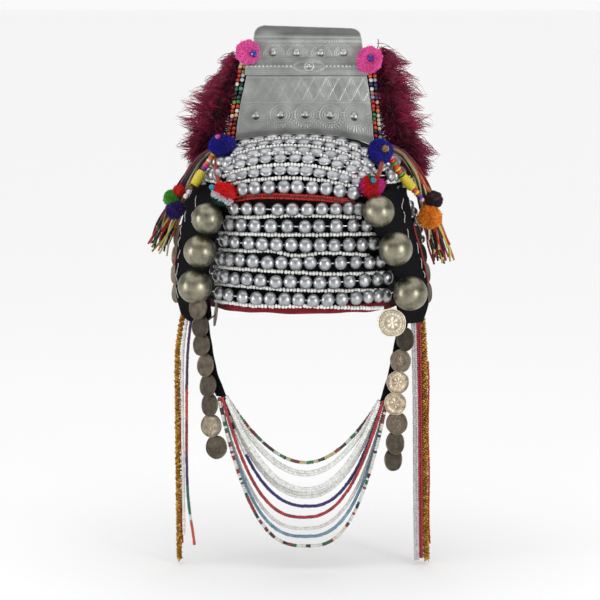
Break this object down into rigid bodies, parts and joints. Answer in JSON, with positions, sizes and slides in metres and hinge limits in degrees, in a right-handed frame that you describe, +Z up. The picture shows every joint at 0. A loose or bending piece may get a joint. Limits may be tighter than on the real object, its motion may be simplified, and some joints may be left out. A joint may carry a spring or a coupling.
{
  "type": "akha headdress",
  "caption": "Black cotton cap sewn with rows of silver beads, with an embossed upright plate, coin straps, pompoms, feather plumes and strings of seed beads below the chin.",
  "frame": {"origin": "middle of the head opening at brow level, where the cap sits on a head", "axes": "+Z up out of the crown, -Y out of the front, +X to the right seen from the front"},
  "size_m": [0.3242, 0.2255, 0.5466],
  "materials": {
    "black_cotton": "matte indigo-black woven cotton",
    "hem_cotton": "matte dark red cotton",
    "silver_bead": "bright, lightly worn",
    "aluminium_sheet": "thin embossed sheet, worn",
    "nickel_silver": "polished, finely scratched",
    "old_coin": "tarnished silver coins",
    "bright_coin": "polished silver coin",
    "white_seed": "opaque white glass seed beads",
    "red_seed": "opaque red glass seed beads",
    "dark_blue_seed": "opaque dark blue glass seed beads",
    "light_blue_seed": "opaque light blue glass seed beads",
    "mixed_seed": "glass seed beads of many colours",
    "gold_thread": "gold-wrapped thread and gilt beads",
    "crimson_feather": "dyed down feathers",
    "pink_wool": "wool pompom",
    "blue_wool": "wool pompom",
    "red_wool": "wool pompom",
    "mixed_wool": "dyed wool yarn",
    "yellow_bead": "yellow wrapped beads"
  },
  "bodies": {
    "root": {"bead_drop_left": "yellow_bead", "bead_drop_right": "yellow_bead", "blue_pompom_left": "blue_wool", "blue_pompom_right": "blue_wool", "brow_coin": "bright_coin", "cap_shell": "black_cotton", "chin_strap_left": "black_cotton", "chin_strap_right": "black_cotton", "chin_string_dark_blue": "dark_blue_seed", "chin_string_light_blue": "light_blue_seed", "chin_string_many_coloured": "mixed_seed", "chin_string_red": "red_seed", "chin_string_red_green": "mixed_seed", "chin_string_white_lower": "white_seed", "chin_string_white_middle": "white_seed", "chin_string_white_third": "white_seed", "chin_string_white_upper": "white_seed", "crown_row_1": "silver_bead", "crown_row_2": "silver_bead", "crown_row_3": "silver_bead", "crown_row_4": "silver_bead", "crown_row_5": "silver_bead", "crown_row_6": "silver_bead", "feather_plume_left": "crimson_feather", "feather_plume_right": "crimson_feather", "flap_coins_left": "old_coin", "flap_coins_right": "old_coin", "headdress_plate": "aluminium_sheet", "hem_trim": "hem_cotton", "pink_pompom_left": "pink_wool", "pink_pompom_right": "pink_wool", "plate_backing": "black_cotton", "plate_band": "aluminium_sheet", "red_pompom_left": "red_wool", "red_pompom_right": "red_wool", "side_bead_string": "silver_bead", "side_flap_left": "black_cotton", "side_flap_right": "black_cotton", "side_strand_coloured_left": "mixed_seed", "side_strand_gold_left": "gold_thread", "side_strand_gold_right": "gold_thread", "side_strand_grey_right": "white_seed", "side_strand_red_right": "red_seed", "side_strand_white_left": "white_seed", "silver_ball_lower_left": "nickel_silver", "silver_ball_lower_right": "nickel_silver", "silver_ball_middle_left": "nickel_silver", "silver_ball_middle_right": "nickel_silver", "silver_ball_upper_left": "nickel_silver", "silver_ball_upper_right": "nickel_silver", "silver_row_1": "silver_bead", "silver_row_2": "silver_bead", "silver_row_3": "silver_bead", "silver_row_4": "silver_bead", "silver_row_5": "silver_bead", "silver_row_6": "silver_bead", "strap_coins_left": "old_coin", "strap_coins_right": "old_coin", "wool_tassel_left": "mixed_wool", "wool_tassel_right": "mixed_wool"}
  },
  "joints": []
}
